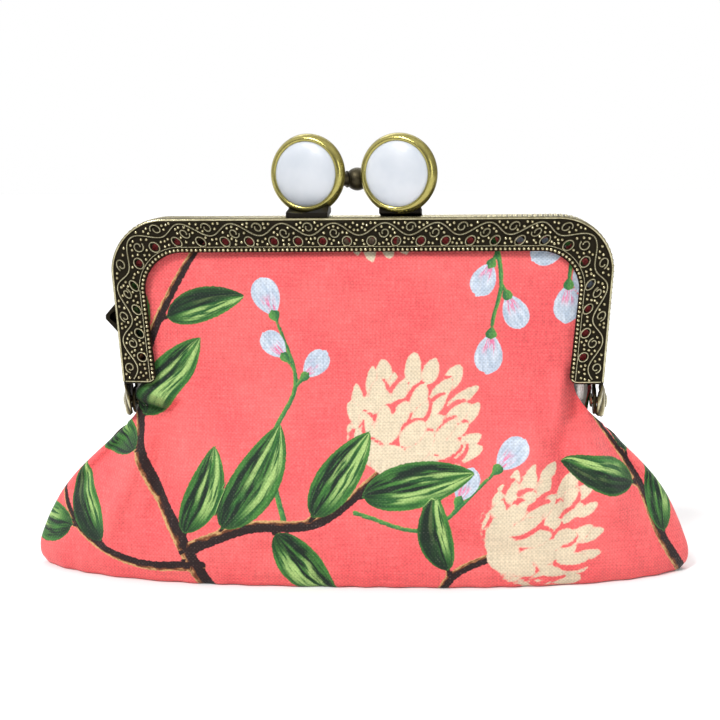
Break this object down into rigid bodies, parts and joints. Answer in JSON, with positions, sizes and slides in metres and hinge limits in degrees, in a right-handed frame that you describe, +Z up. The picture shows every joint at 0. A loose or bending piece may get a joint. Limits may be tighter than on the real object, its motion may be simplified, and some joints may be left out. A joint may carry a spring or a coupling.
{
  "type": "coin purse",
  "caption": "Kiss-lock coin purse: embossed brass frame halves on hinges, round cabochon heads, floral cloth pouch on a flat base.",
  "frame": {"origin": "middle of the base, on the surface that the purse stands on", "axes": "+X to the right along the frame's top, +Y from the front to the back, +Z up"},
  "size_m": [0.162, 0.045, 0.1114],
  "materials": {
    "antique_brass": "embossed, dark patina in the recesses and olive-gold highs",
    "polished_brass": "polished, pale olive-gold",
    "dark_bronze": "dark bronze, satin",
    "cabochon": "glossy white, domed",
    "print_cotton": "plain-weave cotton, coral with a painted botanical print",
    "lining_cotton": "plain-weave cotton, off-white",
    "fleece": "thin needled fleece, white",
    "paper_cord": "twisted kraft paper"
  },
  "bodies": {
    "pouch": {"pouch_outer": "print_cotton", "pouch_interlining": "fleece", "pouch_lining": "lining_cotton", "left_hinge_rivet": "dark_bronze", "right_hinge_rivet": "dark_bronze"},
    "front_half": {"front_frame": "antique_brass", "front_panel": "print_cotton", "front_interlining": "fleece", "front_lining": "lining_cotton", "front_paper_cord": "paper_cord", "left_clasp_foot": "dark_bronze", "left_bezel": "polished_brass", "left_cabochon": "cabochon", "lock_bead": "dark_bronze"},
    "back_half": {"back_frame": "antique_brass", "back_panel": "print_cotton", "back_interlining": "fleece", "back_lining": "lining_cotton", "back_paper_cord": "paper_cord", "right_clasp_foot": "dark_bronze", "right_bezel": "polished_brass", "right_cabochon": "cabochon", "strap_lug": "antique_brass"}
  },
  "joints": [
    {"name": "front_open", "type": "hinge", "parent": "pouch", "child": "front_half", "pos_m": [0, 0, 0.0434], "axis": [1, 0, 0], "range_deg": [0, 45]},
    {"name": "back_open", "type": "hinge", "parent": "pouch", "child": "back_half", "pos_m": [0, 0, 0.0434], "axis": [1, 0, 0], "range_deg": [-45, 0]}
  ],
  "couplings": [
    {"joint": "back_open", "follows": "front_open", "ratio": -1}
  ]
}
